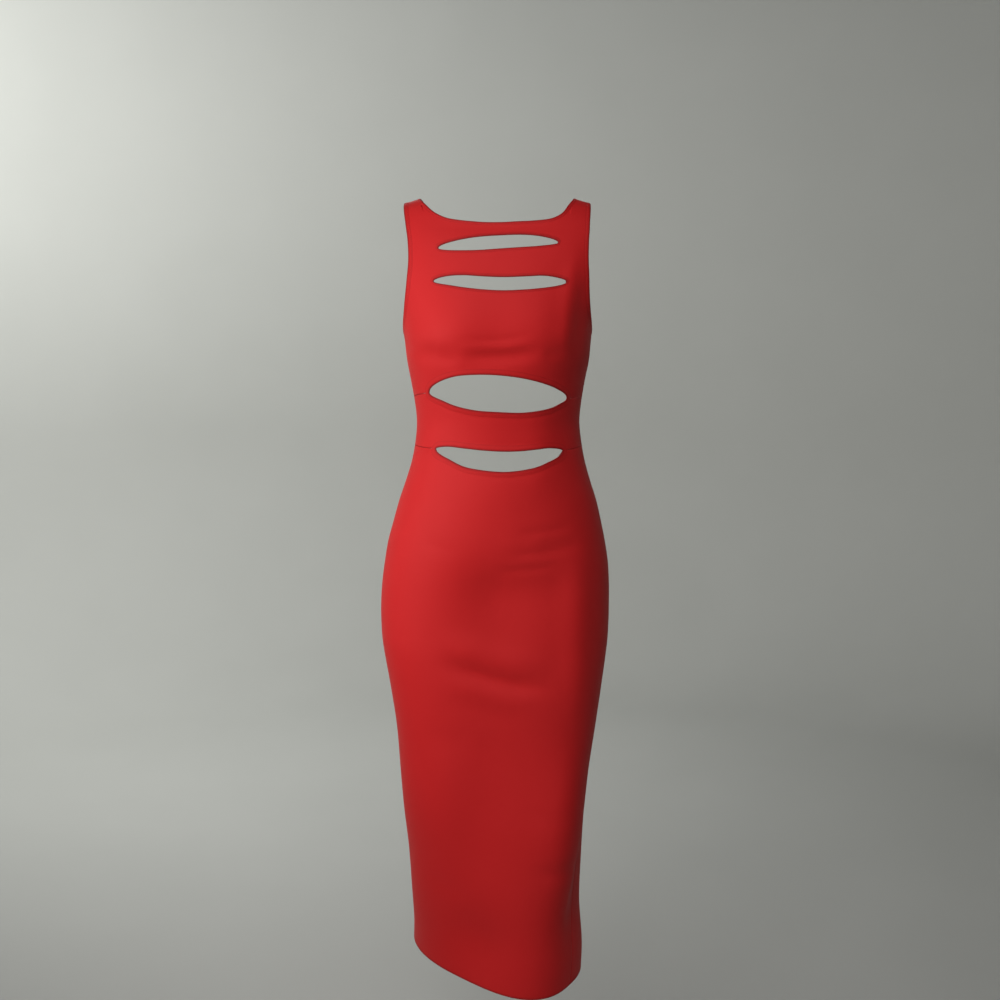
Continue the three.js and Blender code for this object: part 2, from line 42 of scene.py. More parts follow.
# The worn form, level by level: drop is the way down from the shoulder ridge, height is where that lies.
formSettings = {
    "columns": (
        "drop", "height", "centreX", "centreY", "halfWidth", "frontDepth", "backDepth", "squareness", "turn",
    ),
    "rows": (
        (0, 2, 0, 0, 168, 0, 0, 2.6, 0),
        (7, -1, 0, 0, 168, 17, 16, 2.6, 0),
        (15, -9, 0, 0, 168, 36, 34, 2.6, 0),
        (25, -24, 0.4, 0, 168, 53, 50, 2.6, 0),
        (50, -50, 1.4, 0, 166, 72, 66, 2.6, 0),
        (80, -80, 1.8, 0, 160, 86, 76, 2.6, 0),
        (110, -110, 1.3, 0, 152, 96, 82, 2.6, 0),
        (140, -140, 0.4, 0, 142, 104, 86, 2.6, 0),
        (165, -165, 0.3, 0, 135.5, 109, 87, 2.5, 0),
        (190, -190, 0.8, 0, 132.3, 111, 87, 2.45, 0),
        (220, -220, 1.1, 0, 129.6, 107, 84, 2.3, 0),
        (250, -250, 0.9, 0, 124.2, 99, 79, 2.15, 0),
        (280, -280, 1.1, 0, 119.4, 90, 73, 2.1, 0),
        (308, -308, 1.2, 0, 116.9, 84, 68, 2.05, 0),
        (336, -336, 1.5, 0, 119.4, 82, 68, 2.05, 0),
        (365, -365, 1.4, 0, 124.8, 84, 74, 2.05, 0),
        (395, -395, 1, 0, 133.7, 88, 84, 2.05, 0),
        (424, -424, 0.6, 0, 143.3, 93, 96, 2.05, 0),
        (454, -454, -0.2, 0, 151.1, 98, 106, 2.05, 0),
        (483, -483, -1.2, 0, 158.1, 102, 114, 2.05, 0),
        (513, -513, -1.5, 0, 163.1, 105, 118, 2.08, 0),
        (543, -543, -2.5, 0, 166.2, 106, 119, 2.12, 0),
        (574, -574, -3.4, 0, 167.5, 106, 117, 2.18, 0),
        (604, -604, -3.6, 0, 167.2, 105, 112, 2.3, 0),
        (634, -634, -3.4, 0, 165.2, 104, 106, 2.45, 0),
        (696, -696, -2, -2, 155.5, 101, 96, 2.75, -2),
        (758, -758, -1.2, -5, 146.2, 98, 90, 2.95, -5),
        (820, -820, -2.7, -10, 138.3, 96, 86, 3.05, -10),
        (883, -883, -3.7, -16, 131.3, 94, 84, 3.05, -16),
        (947, -947, -2.9, -22, 126.3, 92, 84, 2.95, -22),
        (1011, -1011, -3.2, -28, 125.1, 90, 86, 2.8, -28),
        (1070, -1070, -0.5, -33, 129.1, 89, 88, 2.65, -33),
        (1105, -1105, -1.8, -35, 131.2, 88, 88, 2.6, -36),
    ),
    "strapMiddle": 120, "shoulderSlope": 0.3, "shoulderReach": 42, "underarmDrop": 178,
    "underbustSideDrop": 274, "waistSideDrop": 342, "hemDrop": 1105,
    "hemTiltStart": 640, "hemFrontTilt": -7, "hemSideTilt": -14,
}


def smoothStep(value):
    t = np.clip(value, 0, 1)
    return t * t * (3 - 2 * t)


# A table of sizes, read as smooth curves through its rows.
class SizeTable:
    def __init__(self, columns, rows, key):
        data = np.array(rows, float)
        self.at = data[:, columns.index(key)]
        self.values = {name: data[:, i] for i, name in enumerate(columns)}
        before = np.maximum(np.arange(len(data)) - 1, 0)
        after = np.minimum(np.arange(len(data)) + 1, len(data) - 1)
        run = self.at[after] - self.at[before]
        self.slopes = {name: (v[after] - v[before]) / run for name, v in self.values.items()}

    def read(self, name, where):
        where = np.asarray(where, float)
        i = np.clip(np.searchsorted(self.at, where, side="left") - 1, 0, len(self.at) - 2)
        span = self.at[i + 1] - self.at[i]
        t = np.clip((where - self.at[i]) / span, 0, 1)
        v, s = self.values[name], self.slopes[name]
        return ((2 * t ** 3 - 3 * t ** 2 + 1) * v[i] + (t ** 3 - 2 * t ** 2 + t) * span * s[i]
                + (3 * t ** 2 - 2 * t ** 3) * v[i + 1] + (t ** 3 - t ** 2) * span * s[i + 1])


form = SizeTable(formSettings["columns"], formSettings["rows"], "drop")

# Soft swellings and creases: side is -1 on the front and 1 on the back, depth below 0 is a trough.
creaseSettings = {
    "swellings": (  # side, x, drop, spreadX, spreadDrop, rise
        (-1, -64, 176, 46, 38, 6),
        (-1, 66, 174, 45, 38, 4),
        (-1, 0, 204, 56, 36, -3),
        (-1, 5, 395, 60, 36, 3),
        (-1, 2, 566, 92, 88, -16),
        (-1, -78, 850, 46, 95, 7),
        (-1, 95, 890, 40, 90, 9),
        (-1, -20, 1046, 52, 50, -9),
        (1, -72, 548, 52, 56, 8),
        (1, 70, 550, 52, 56, 8),
    ),
    "folds": (  # side, fromX, fromDrop, toX, toDrop, bow, width, depth
        (-1, -62, 212, 68, 206, 6, 11, -3.2),
        (-1, -95, 602, 85, 650, 7, 20, 3.6),
        (-1, -94, 636, 90, 683, 8, 13, -3.7),
        (-1, -90, 662, 62, 706, 3, 14, 1.1),
        (-1, -70, 530, 160, 526, 8, 40, -5.0),
        (-1, 52, 474, 130, 480, 0, 12, -1.2),
        (-1, 40, 934, 126, 938, 0, 13, -1.5),
        (-1, 112, 56, 90, 236, 7, 11, 2.2),
        (-1, 118, 430, 112, 770, 0, 22, 4.5),
        (-1, 110, 740, 84, 1060, 0, 24, 4.0),
        (1, -96, 628, 84, 612, -7, 20, -5),
        (1, -70, 596, 96, 640, -6, 17, -3.4),
        (1, -58, 436, 62, 428, -6, 18, -3.2),
        (1, -84, 700, 40, 676, -5, 22, -3),
        # finer ones, too shallow for the solids
        (-1, -60, 190, 64, 181, 5, 6, -0.9),
        (-1, -58, 198, 60, 194, 5, 7, 0.9),
        (-1, -120, 205, -44, 220, 0, 14, -2.4),
        (-1, 60, 212, 96, 206, 0, 9, -0.8),
        (-1, -128, 180, -118, 212, 2, 5, -0.8),
        (-1, 20, 457, 112, 451, 2, 7, -1.1),
        (-1, 4, 488, 116, 480, 2, 8, -1.1),
        (-1, -8, 512, 96, 506, 0, 7, -1.0),
        (-1, -116, 468, -48, 486, 2, 8, -0.7),
        (-1, -86, 692, 46, 730, 2, 14, -0.8),
        (-1, 126, 92, 110, 216, 3, 10, -1.8),
        (-1, 62, 240, 58, 430, 0, 26, 2.4),
        (-1, -112, 742, -30, 764, 3, 16, -0.7),
        (-1, 30, 852, 112, 862, 2, 13, -0.7),
        (-1, -104, 968, -34, 980, 2, 14, -0.6),
        (1, -118, 414, -30, 424, -4, 9, -1.2),
        (1, 22, 452, 108, 446, -3, 8, -1.1),
        (1, -104, 486, 20, 474, -4, 10, -1.0),
        (1, -66, 652, 84, 664, -6, 9, -1.3),
        (1, 6, 742, 96, 722, -3, 14, -1.2),
        (1, -96, 786, -8, 770, -3, 16, -0.9),
        (1, -92, 902, 50, 884, -4, 15, -1.3),
        (1, 24, 946, 104, 934, -2, 12, -0.9),
    ),
    "edgeDips": (  # cut-out, edge, how far out from it, width, depth
        ("underbustCutout", "bottom", 9.4, 3.0, -0.48),
        ("waistCutout", "bottom", 9.4, 3.0, -0.58),
        ("waistCutout", "top", 10.4, 3.6, -0.30),
        ("underbustCutout", "top", 10.2, 3.8, -0.18),
    ),
}


def angleAtX(x, drop, onBack=False):
    half, centre, square = (form.read(n, drop) for n in ("halfWidth", "centreX", "squareness"))
    across = np.minimum(1, np.abs(x - centre) / half)
    along = (1 - across ** square) ** (1 / square)
    fromFront = np.arctan2(across, along)
    return np.sign(x - centre) * (np.pi - fromFront if onBack else fromFront)


def plainPoint(angle, drop):
    sine, cosine = np.sin(angle), np.cos(angle)
    square = form.read("squareness", drop)
    reach = (np.abs(sine) ** square + np.abs(cosine) ** square) ** (-1 / square)
    depth = np.where(cosine > 0, form.read("frontDepth", drop), form.read("backDepth", drop))
    across, along = form.read("halfWidth", drop) * sine * reach, -depth * cosine * reach
    turn = np.radians(form.read("turn", drop))
    s = formSettings
    lean = np.maximum(0, drop - s["hemTiltStart"]) / (s["hemDrop"] - s["hemTiltStart"])
    tilt = lean ** 2 * (s["hemFrontTilt"] * cosine + s["hemSideTilt"] * sine) * reach
    ridge = s["shoulderSlope"] * (s["strapMiddle"] - np.abs(across))
    ridge = ridge * (1 - smoothStep(drop / s["shoulderReach"]))
    return np.stack((
        form.read("centreX", drop) + across * np.cos(turn) - along * np.sin(turn),
        form.read("centreY", drop) + across * np.sin(turn) + along * np.cos(turn),
        form.read("height", drop) + tilt + ridge,
    ), -1)


def reliefAt(angle, drop, point):
    side = np.where(np.cos(angle) > 0, -1, 1)
    x = point[..., 0]
    relief = np.zeros(x.shape)
    for name, edge, out, width, depth in creaseSettings["edgeDips"]:
        sweep = sweepAtX(cutouts[name], x)
        away = (drop - cutouts[name].read(edge, sweep)) * (1 if edge == "bottom" else -1) - out
        relief += (side == -1) * depth * np.sin(sweep) * np.exp(-(away / width) ** 2)
    for foldSide, atX, atDrop, spreadX, spreadDrop, rise in creaseSettings["swellings"]:
        away = ((x - atX) / spreadX) ** 2 + ((drop - atDrop) / spreadDrop) ** 2
        relief += (side == foldSide) * rise * np.exp(-away)
    for foldSide, fromX, fromDrop, toX, toDrop, bow, width, depth in creaseSettings["folds"]:
        alongX, alongDrop = toX - fromX, toDrop - fromDrop
        length = math.hypot(alongX, alongDrop)
        t = ((x - fromX) * alongX + (drop - fromDrop) * alongDrop) / length ** 2
        away = ((drop - fromDrop) * alongX - (x - fromX) * alongDrop) / length - bow * 4 * t * (1 - t)
        fade = smoothStep(t / 0.35) * smoothStep((1 - t) / 0.35)
        relief += (side == foldSide) * depth * fade * np.exp(-(away / width) ** 2)
    return relief * smoothStep(np.abs(np.cos(angle)) / 0.35)


def crossOf(a, b):
    c = np.cross(a, b)
    return c / np.maximum(np.linalg.norm(c, axis=-1, keepdims=True), 1e-12)


def formFrame(angle, drop):  # the cloth's middle point, its outward normal and its two directions
    step, reach = 0.002, 0.25
    upper, lower = np.maximum(0, drop - reach), drop + reach
    girth = (plainPoint(angle + step, drop) - plainPoint(angle - step, drop)) / (2 * step)
    down = (plainPoint(angle, lower) - plainPoint(angle, upper)) / (lower - upper)[..., None]
    normal = crossOf(down, girth)
    point = plainPoint(angle, drop)
    point = point + normal * reliefAt(angle, drop, point)[..., None]
    return point, normal, girth, down


edgeSettings = {
    "armhole": ((0, 131.5), (10, 131), (19, 129.8), (27, 128.6), (42, 127.5), (55, 126.2), (83, 125.4),
                (110, 126.8), (137, 128.2), (152, 129.5), (165, 131.4), (174, 132.8)),
    "neckline": ((-108.5, 0), (-99, 15.6), (-83, 24.4), (-66, 29.8), (-28, 33.8), (0, 34.7), (27, 33.6),
                 (53, 32.1), (75, 29.2), (90, 23), (99, 15.6), (107.5, 0)),
    "openBack": ((0, 108), (15, 103), (40, 99.5), (80, 99), (115, 102), (178, 106), (230, 108.5), (262, 109),
                 (300, 108), (342, 103)),
    "scoop": ((-103, 342), (-98, 354), (-88, 370), (-68, 388), (-38, 399), (0, 402), (38, 399), (68, 388),
              (88, 370), (98, 354), (103, 342)),
    "cutouts": {
        "chestSlit": ((-80, 67.8, 67.8), (-67, 60.4, 70.2), (-45, 55.2, 70.6), (-23, 52.1, 70.1),
                      (4, 50.3, 68.2), (31, 49.4, 66.3), (53, 50.6, 64.8), (66, 52.8, 63.4), (83, 60, 60)),
        "upperSlit": ((-86, 112.6, 112.6), (-67, 105.8, 117.3), (-45, 104.7, 120.8), (-18, 106.4, 123.6),
                      (10, 107.3, 124.8), (41, 106.2, 123.4), (60, 105.3, 121.6), (76, 106.8, 119.4),
                      (93.5, 113.6, 113.6)),
        "underbustCutout": ((-94.5, 264.2, 264.2), (-79, 248.4, 273.4), (-57, 240.8, 281.7),
                            (-30, 238.5, 287.3), (0, 239.2, 289.4), (31, 242.8, 290.5), (53, 247.6, 288.4),
                            (75, 255, 284.2), (87, 261.4, 279.2), (97, 272.2, 272.2)),
        "waistCutout": ((-86, 343.2, 343.2), (-69, 339.5, 355.8), (-46, 341.2, 366), (-20, 343.5, 370.6),
                        (8, 345, 372.7), (31, 344.7, 371.2), (54, 342.9, 366.9), (72, 341.6, 360),
                        (91.5, 346.2, 346.2)),
    },
}


def sweepTable(columns, rows):  # read across from 0 to pi, so that an edge can turn round at both ends
    left, right = rows[0][0], rows[-1][0]
    sweeps = [math.acos(min(1, max(-1, (left + right - 2 * row[0]) / (right - left)))) for row in rows]
    table = SizeTable(("sweep", *columns), [(s, *row) for s, row in zip(sweeps, rows)], "sweep")
    table.ends = (left, right)
    return table


def xAtSweep(table, sweep):
    left, right = table.ends
    return (left + right - (right - left) * np.cos(sweep)) / 2


def sweepAtX(table, x):
    left, right = table.ends
    return np.arccos(np.clip((left + right - 2 * x) / (right - left), -1, 1))


def sweepSteps(steps):  # somewhat closer together at both ends, where an edge turns
    even = np.linspace(0, 1, steps + 1)
    share = 0.55 * (1 - np.cos(np.pi * even)) / 2 + 0.45 * even
    return np.arccos(np.clip(1 - 2 * share, -1, 1))


armhole = SizeTable(("drop", "x"), edgeSettings["armhole"], "drop")
openBack = SizeTable(("drop", "x"), edgeSettings["openBack"], "drop")
neckline = sweepTable(("x", "drop"), edgeSettings["neckline"])
scoop = sweepTable(("x", "drop"), edgeSettings["scoop"])
cutouts = {name: sweepTable(("x", "top", "bottom"), rows) for name, rows in edgeSettings["cutouts"].items()}


panelSettings = {
    # painted shade: how dark the rolled rims and the hem's last few mm are made, and how far up the hem that
    # reaches
    "thickness": 1.4, "edgeRoll": 0.62, "rollSteps": 3, "paintedRimShade": 0.45, "paintedHemShade": 0.55, "hemShadeReach": 2.2,
    "seamInset": 0.72, "boundInset": 1.25,  # how far a panel stops short of a seam, and a bound edge
    "sideSteps": 16, "cutoutSteps": 80, "scoopSteps": 72, "stripSteps": 16,
}


def armholeX(drop):
    lastDrop, lastX = edgeSettings["armhole"][-1]
    half = form.read("halfWidth", drop)
    under = np.clip((drop - lastDrop) / (formSettings["underarmDrop"] - lastDrop), 0, 1)
    return np.where(drop > lastDrop, lastX + (half - lastX) * under ** 0.5, armhole.read("x", drop))


def sideAngle(drop, side, onBack, seamInset=0.0, boundInset=0.0):
    drop = np.asarray(drop, float)
    depth = np.maximum(30, form.read("frontDepth", drop))
    seam = np.pi / 2 + (1 if onBack else -1) * seamInset / depth
    x = armholeX(drop) - boundInset
    edge = np.abs(angleAtX(x, drop, onBack))
    edge = np.maximum(edge, seam) if onBack else np.minimum(edge, seam)
    return side * np.where(drop >= formSettings["underarmDrop"] + boundInset, seam, edge)


def offsetLoop(x, drop, out):  # moves a closed loop of x and drop outwards
    dx, dd = np.roll(x, -1) - np.roll(x, 1), np.roll(drop, -1) - np.roll(drop, 1)
    length = np.hypot(dx, dd)
    return x + out * dd / length, drop - out * dx / length


def cutoutLoop(table, steps, out=0.0):  # along the top from left to right, and back along the bottom
    sweep = sweepSteps(steps)
    x = np.concatenate((xAtSweep(table, sweep), xAtSweep(table, sweep[1:-1])[::-1]))
    drop = np.concatenate((table.read("top", sweep), table.read("bottom", sweep[1:-1])[::-1]))
    return offsetLoop(x, drop, out)


def cutoutEdge(name, which):  # one edge of a cut-out, set back under its binding, as angle and drop
    steps = panelSettings["cutoutSteps"]
    x, drop = cutoutLoop(cutouts[name], steps, panelSettings["boundInset"])
    if which == "top":
        x, drop = x[:steps + 1], drop[:steps + 1]
    else:
        x, drop = np.append(x[0], x[:steps - 1:-1]), np.append(drop[0], drop[:steps - 1:-1])
    return np.stack((angleAtX(x, drop), drop), -1)


def acrossFront(middle, sideDrop):  # one curve from side edge to side edge through a cut-out's edge
    steps = panelSettings["sideSteps"]
    share = np.linspace(0, 1, steps + 1)[:-1, None]
    inset = (panelSettings["seamInset"], panelSettings["boundInset"])
    leftEnd = np.array((sideAngle(sideDrop, -1, False, *inset), sideDrop))
    rightEnd = np.array((sideAngle(sideDrop, 1, False, *inset), sideDrop))
    left = leftEnd + (middle[0] - leftEnd) * share
    right = (rightEnd + (middle[-1] - rightEnd) * share)[::-1]
    return np.concatenate((left, middle, right))


def rowsBetween(upper, lower, count, ease=1.0):
    share = (np.linspace(0, 1, count + 1) ** ease)[:, None, None]
    return upper + (lower - upper) * share


def fitSides(rows, onBack=False):  # every row ends on the panel's own side edges
    steps = panelSettings["sideSteps"]
    columns = np.arange(rows.shape[1])
    leftShare = np.clip(1 - columns / steps, 0, 1)
    rightShare = leftShare[::-1]
    inset = (panelSettings["seamInset"], panelSettings["boundInset"])
    left = sideAngle(rows[:, 0, 1], 1 if onBack else -1, onBack, *inset)
    right = sideAngle(rows[:, -1, 1], -1 if onBack else 1, onBack, *inset)
    right = np.where(right < 0, right + 2 * np.pi, right) if onBack else right
    out = rows.copy()
    out[..., 0] += (left - rows[:, 0, 0])[:, None] * leftShare
    out[..., 0] += (right - rows[:, -1, 0])[:, None] * rightShare
    return out


# A thin cloth wall over patches of (angle, drop) places. Free edges are closed by a rolled rim.
def clothWall(name, patches, innerExtra=None):
    s = panelSettings
    half = s["thickness"] / 2
    places = np.concatenate([p.reshape(-1, 2) for p in patches])
    keys = np.round(places * (1e6, 1e4)).astype(np.int64)  # places this close are one point
    _, first, back = np.unique(keys, axis=0, return_index=True, return_inverse=True)
    back = back.reshape(-1)
    angle, drop = places[first, 0], places[first, 1]
    quads, start = [], 0
    for p in patches:
        grid = back[start:start + p.shape[0] * p.shape[1]].reshape(p.shape[:2])
        start += grid.size
        quad = np.stack((grid[:-1, :-1], grid[1:, :-1], grid[1:, 1:], grid[:-1, 1:]), -1)
        quads.append(quad.reshape(-1, 4))
    quads = np.concatenate(quads)
    point, normal, _, _ = formFrame(angle, drop)
    inner = half + (innerExtra(drop) if innerExtra is not None else 0.0)
    inner = np.broadcast_to(inner, drop.shape)[:, None]
    count = len(drop)
    faces, edges = [], {}
    for quad in quads.tolist():
        ring = [v for i, v in enumerate(quad) if v != quad[i - 1]]
        if len(ring) > 2:
            faces.append(ring)
            for i, v in enumerate(ring):
                edges[(ring[i - 1], v)] = True
    free = [e for e in edges if (e[1], e[0]) not in edges]
    following, leading = dict(free), {b: a for a, b in free}
    rim = np.array(sorted(following))
    along = point[[following[v] for v in rim]] - point[[leading[v] for v in rim]]
    outward = crossOf(along, normal[rim])
    rings = [rim]
    corners = [point + normal * half, point - normal * inner]
    total = 2 * count
    for step in range(1, s["rollSteps"] + 1):
        turn = math.pi * step / (s["rollSteps"] + 1)
        lift = np.where(math.cos(turn) > 0, half, inner[rim, 0])[:, None] * math.cos(turn)
        corners.append(point[rim] + normal[rim] * lift + outward * s["edgeRoll"] * math.sin(turn))
        rings.append(np.arange(total, total + len(rim)))
        total += len(rim)
    rings.append(rim + count)
    place = {v: i for i, v in enumerate(rim.tolist())}
    allFaces = faces + [[v + count for v in reversed(f)] for f in faces]
    for a, b in free:
        i, j = place[a], place[b]
        for near, far in zip(rings[:-1], rings[1:]):
            allFaces.append([int(near[j]), int(near[i]), int(far[i]), int(far[j])])
    # the cloth's own measure across and down, for its knit
    girthRadius = np.maximum(60, form.read("halfWidth", drop) * 0.5 + form.read("frontDepth", drop) * 0.5)
    cloth = np.stack((angle * girthRadius.mean(), drop), -1) * mm
    uv = np.concatenate([cloth, cloth] + [cloth[rim]] * s["rollSteps"])
    # painted shade: darker along the hem and on the rolled rims at the seams
    paintedRimShade = np.zeros(total)
    aboveHem = formSettings["hemDrop"] - drop
    paintedRimShade[:count] = s["paintedHemShade"] * np.exp(-(aboveHem / s["hemShadeReach"]) ** 2)
    paintedRimShade[2 * count:] = s["paintedRimShade"]
    return addMesh(name, np.concatenate(corners) * mm, allFaces, uv, paintedRimShade)


def addMesh(name, corners, faces, uv, paintedEdgeShade):
    mesh = bpy.data.meshes.new(name)
    mesh.from_pydata(corners.tolist(), [], faces)
    mesh.validate()
    layer = mesh.uv_layers.new(name="clothMeasure")
    index = np.empty(len(mesh.loops), np.int32)
    mesh.loops.foreach_get("vertex_index", index)
    layer.data.foreach_set("uv", uv[index].astype(np.float32).ravel())
    shade = mesh.attributes.new("paintedEdgeShade", "FLOAT", "POINT")
    shade.data.foreach_set("value", np.broadcast_to(paintedEdgeShade, len(corners)).astype(np.float32))
    mesh.shade_smooth()
    piece = bpy.data.objects.new(name, mesh)
    bpy.context.scene.collection.objects.link(piece)
    print("made", name, len(mesh.vertices), "points")
    return piece


frontBodiceSettings = {"yokeRows": 20, "slitRows": 14, "bustRows": 26, "ribRows": 32}
frontMidriffSettings = {"rows": 26}
frontSkirtSettings = {"rows": 270, "hemTurnUp": 26, "hemExtra": 0.9}
backSkirtSettings = {"rows": 250, "hemTurnUp": 26, "hemExtra": 0.9}
sideBackSettings = {"rows": 84}


def neckEdge(out):  # the front neckline set back under its binding
    sweep = sweepSteps(panelSettings["cutoutSteps"])
    x, drop = xAtSweep(neckline, sweep), np.maximum(0, neckline.read("drop", sweep))
    dx, dd = np.gradient(x), np.gradient(drop)
    length = np.hypot(dx, dd)
    x, drop = x - out * dd / length, drop + out * dx / length
    x[0], x[-1] = edgeSettings["neckline"][0][0] - out, edgeSettings["neckline"][-1][0] + out
    drop = np.maximum(drop, panelSettings["seamInset"] * 0.4)
    drop[0] = drop[-1] = panelSettings["seamInset"] * 0.4
    return np.stack((angleAtX(x, drop), drop), -1)


def makeFrontBodice():
    s, f = frontBodiceSettings, formSettings
    top = acrossFront(neckEdge(panelSettings["boundInset"]), panelSettings["seamInset"] * 0.4)
    chestTop = acrossFront(cutoutEdge("chestSlit", "top"), 66)
    chestBottom = acrossFront(cutoutEdge("chestSlit", "bottom"), 66)
    upperTop = acrossFront(cutoutEdge("upperSlit", "top"), 112)
    upperBottom = acrossFront(cutoutEdge("upperSlit", "bottom"), 112)
    middle = cutoutEdge("upperSlit", "bottom")
    underarm = f["underarmDrop"] + panelSettings["boundInset"]
    middleX = plainPoint(middle[:, 0], middle[:, 1])[:, 0]
    bust = acrossFront(np.stack((angleAtX(middleX, underarm), np.full(len(middle), underarm)), -1), underarm)
    bottom = acrossFront(cutoutEdge("underbustCutout", "top"), f["underbustSideDrop"])
    seam = seamShift(bottom, -panelSettings["seamInset"])
    return clothWall("frontBodice", [
        fitSides(rowsBetween(top, chestTop, s["yokeRows"])),
        fitSides(rowsBetween(chestBottom, upperTop, s["slitRows"])),
        fitSides(rowsBetween(upperBottom, bust, s["bustRows"])),
        fitSides(rowsBetween(bust, seam, s["ribRows"])),
    ])


def seamShift(curve, shift):  # moves the seam parts of a curve away from the seam line
    steps = panelSettings["sideSteps"]
    out = curve.copy()
    out[:steps + 1, 1] += shift
    out[-steps - 1:, 1] += shift
    return out


def makeFrontMidriff():
    f, inset = formSettings, panelSettings["seamInset"]
    top = seamShift(acrossFront(cutoutEdge("underbustCutout", "bottom"), f["underbustSideDrop"]), inset)
    bottom = seamShift(acrossFront(cutoutEdge("waistCutout", "top"), f["waistSideDrop"]), -inset)
    return clothWall("frontMidriff", [fitSides(rowsBetween(top, bottom, frontMidriffSettings["rows"]))])


def hemTurn(settings):  # the hem's turned-up layer, on the inside
    top = formSettings["hemDrop"] - settings["hemTurnUp"]
    return lambda drop: settings["hemExtra"] * smoothStep((drop - top) / 2.5)


def makeFrontSkirt():
    s, f = frontSkirtSettings, formSettings
    inset = panelSettings["seamInset"]
    top = seamShift(acrossFront(cutoutEdge("waistCutout", "bottom"), f["waistSideDrop"]), inset)
    across = np.linspace(-1, 1, len(top))
    hemDrop = f["hemDrop"] - panelSettings["edgeRoll"]
    hem = np.stack((across * sideAngle(hemDrop, 1, False, inset), np.full(len(top), hemDrop)), -1)
    return clothWall("frontSkirt", [fitSides(rowsBetween(top, hem, s["rows"]))], innerExtra=hemTurn(s))


def openBackAngle(drop, side, out=0.0):
    return angleAtX(side * (openBack.read("x", drop) + out), drop, True)


def makeSideBack(name, side):
    s, inset = sideBackSettings, panelSettings["seamInset"]
    top, bottom = inset * 0.4, formSettings["waistSideDrop"] - inset
    share = np.linspace(0, 1, s["rows"] + 1)
    drop = top + (bottom - top) * (0.35 * share ** 2 + 0.65 * share)
    outer = sideAngle(drop, side, True, inset, panelSettings["boundInset"])
    inner = openBackAngle(drop, side, panelSettings["boundInset"])
    across = np.linspace(0, 1, panelSettings["stripSteps"] + 1)
    angle = outer[:, None] + (inner - outer)[:, None] * across
    rows = np.stack((angle, np.broadcast_to(drop[:, None], angle.shape)), -1)
    return clothWall(name, [rows if side > 0 else rows[:, ::-1]])


def scoopEdge(out):  # the open back's lower edge, from the +X side past the centre back
    sweep = sweepSteps(panelSettings["scoopSteps"])[::-1]
    x, drop = xAtSweep(scoop, sweep), scoop.read("drop", sweep)
    dx, dd = np.gradient(x), np.gradient(drop)
    length = np.hypot(dx, dd)
    x, drop = x + out * dd / length, drop - out * dx / length
    angle = angleAtX(x, drop, True)
    return np.stack((np.where(angle < 0, angle + 2 * np.pi, angle), drop), -1)


def makeBackSkirt():
    s, f, inset = backSkirtSettings, formSettings, panelSettings["seamInset"]
    middle = scoopEdge(panelSettings["boundInset"])
    sideDrop = f["waistSideDrop"] + inset
    share = np.linspace(0, 1, panelSettings["sideSteps"] + 1)[:-1, None]
    rightEnd = np.array((sideAngle(sideDrop, 1, True, inset), sideDrop))
    leftEnd = np.array((sideAngle(sideDrop, -1, True, inset) + 2 * np.pi, sideDrop))
    middle[0, 1] = middle[-1, 1] = sideDrop
    right = rightEnd + (middle[0] - rightEnd) * share
    left = (leftEnd + (middle[-1] - leftEnd) * share)[::-1]
    top = np.concatenate((right, middle, left))
    hemDrop = f["hemDrop"] - panelSettings["edgeRoll"]
    start = float(sideAngle(hemDrop, 1, True, inset))
    hem = np.stack((np.linspace(start, 2 * np.pi - start, len(top)), np.full(len(top), hemDrop)), -1)
    return clothWall("backSkirt", [fitSides(rowsBetween(top, hem, s["rows"]), True)], innerExtra=hemTurn(s))


panels = {
    "front_bodice": makeFrontBodice(),
    "front_midriff": makeFrontMidriff(),
    "front_skirt": makeFrontSkirt(),
    "side_back_left": makeSideBack("sideBackLeft", 1),
    "side_back_right": makeSideBack("sideBackRight", -1),
    "back_skirt": makeBackSkirt(),
}
print("panels made")


# Edge bindings: a folded strip that wraps each cut edge, seen in section as a soft U.
bindingSettings = {
    "neckWidth": 5.5, "armholeWidth": 7.5, "slitWidth": 4.5, "cutoutWidth": 8.5,
    "spacing": 2.0, "gapHeight": 0.76, "strapRise": 1.10, "slitRise": 0.95, "cutoutRise": 1.02,
    "paintedEdgeShade": 0.85, "foldReach": 2.0,  # how dark the painted shade at the fold of the cut edge is, and how far that reaches
    "paintedBorderShade": 0.22, "borderReach": 0.9,  # the same painted shade, as a thin line along the outer border
    "turn": 1.5,  # what the turn at the edge takes of the strip's width
    "loopSteps": 120, "strapTop": (0.6, 20, 24), "strapBelow": (22, 340, 100),  # from, to, steps
    "armholeTop": (0, 30, 32), "armholeMiddle": (32, 160, 60), "underarmSteps": 40,
}


def bindingSection(width, rise):  # across the cloth from its cut edge, and out from its middle
    flush, gap = panelSettings["thickness"] / 2 + 0.012, bindingSettings["gapHeight"]
    soft = min(5.0, width * 0.6)  # how long the outer border takes to run out on the cloth
    steps = (0, 0.25, 0.5, 0.75, 1)
    runOut = [(width - soft * step, flush + (rise - flush) * float(smoothStep(step))) for step in steps]
    outside = runOut + [(1.35, rise), (0.68, rise * 0.86), (0.22, rise * 0.52), (0.0, 0.0)]
    inside = [(width - soft * 0.3, gap), (1.1, gap), (0.72, gap * 0.6), (0.58, 0.0)]
    mirrored = [(s, -h) for s, h in reversed(outside[:-1])]
    cavity = [(s, -h) for s, h in inside[:-1]] + [inside[-1]] + [(s, h) for s, h in reversed(inside[:-1])]
    return outside + mirrored + cavity


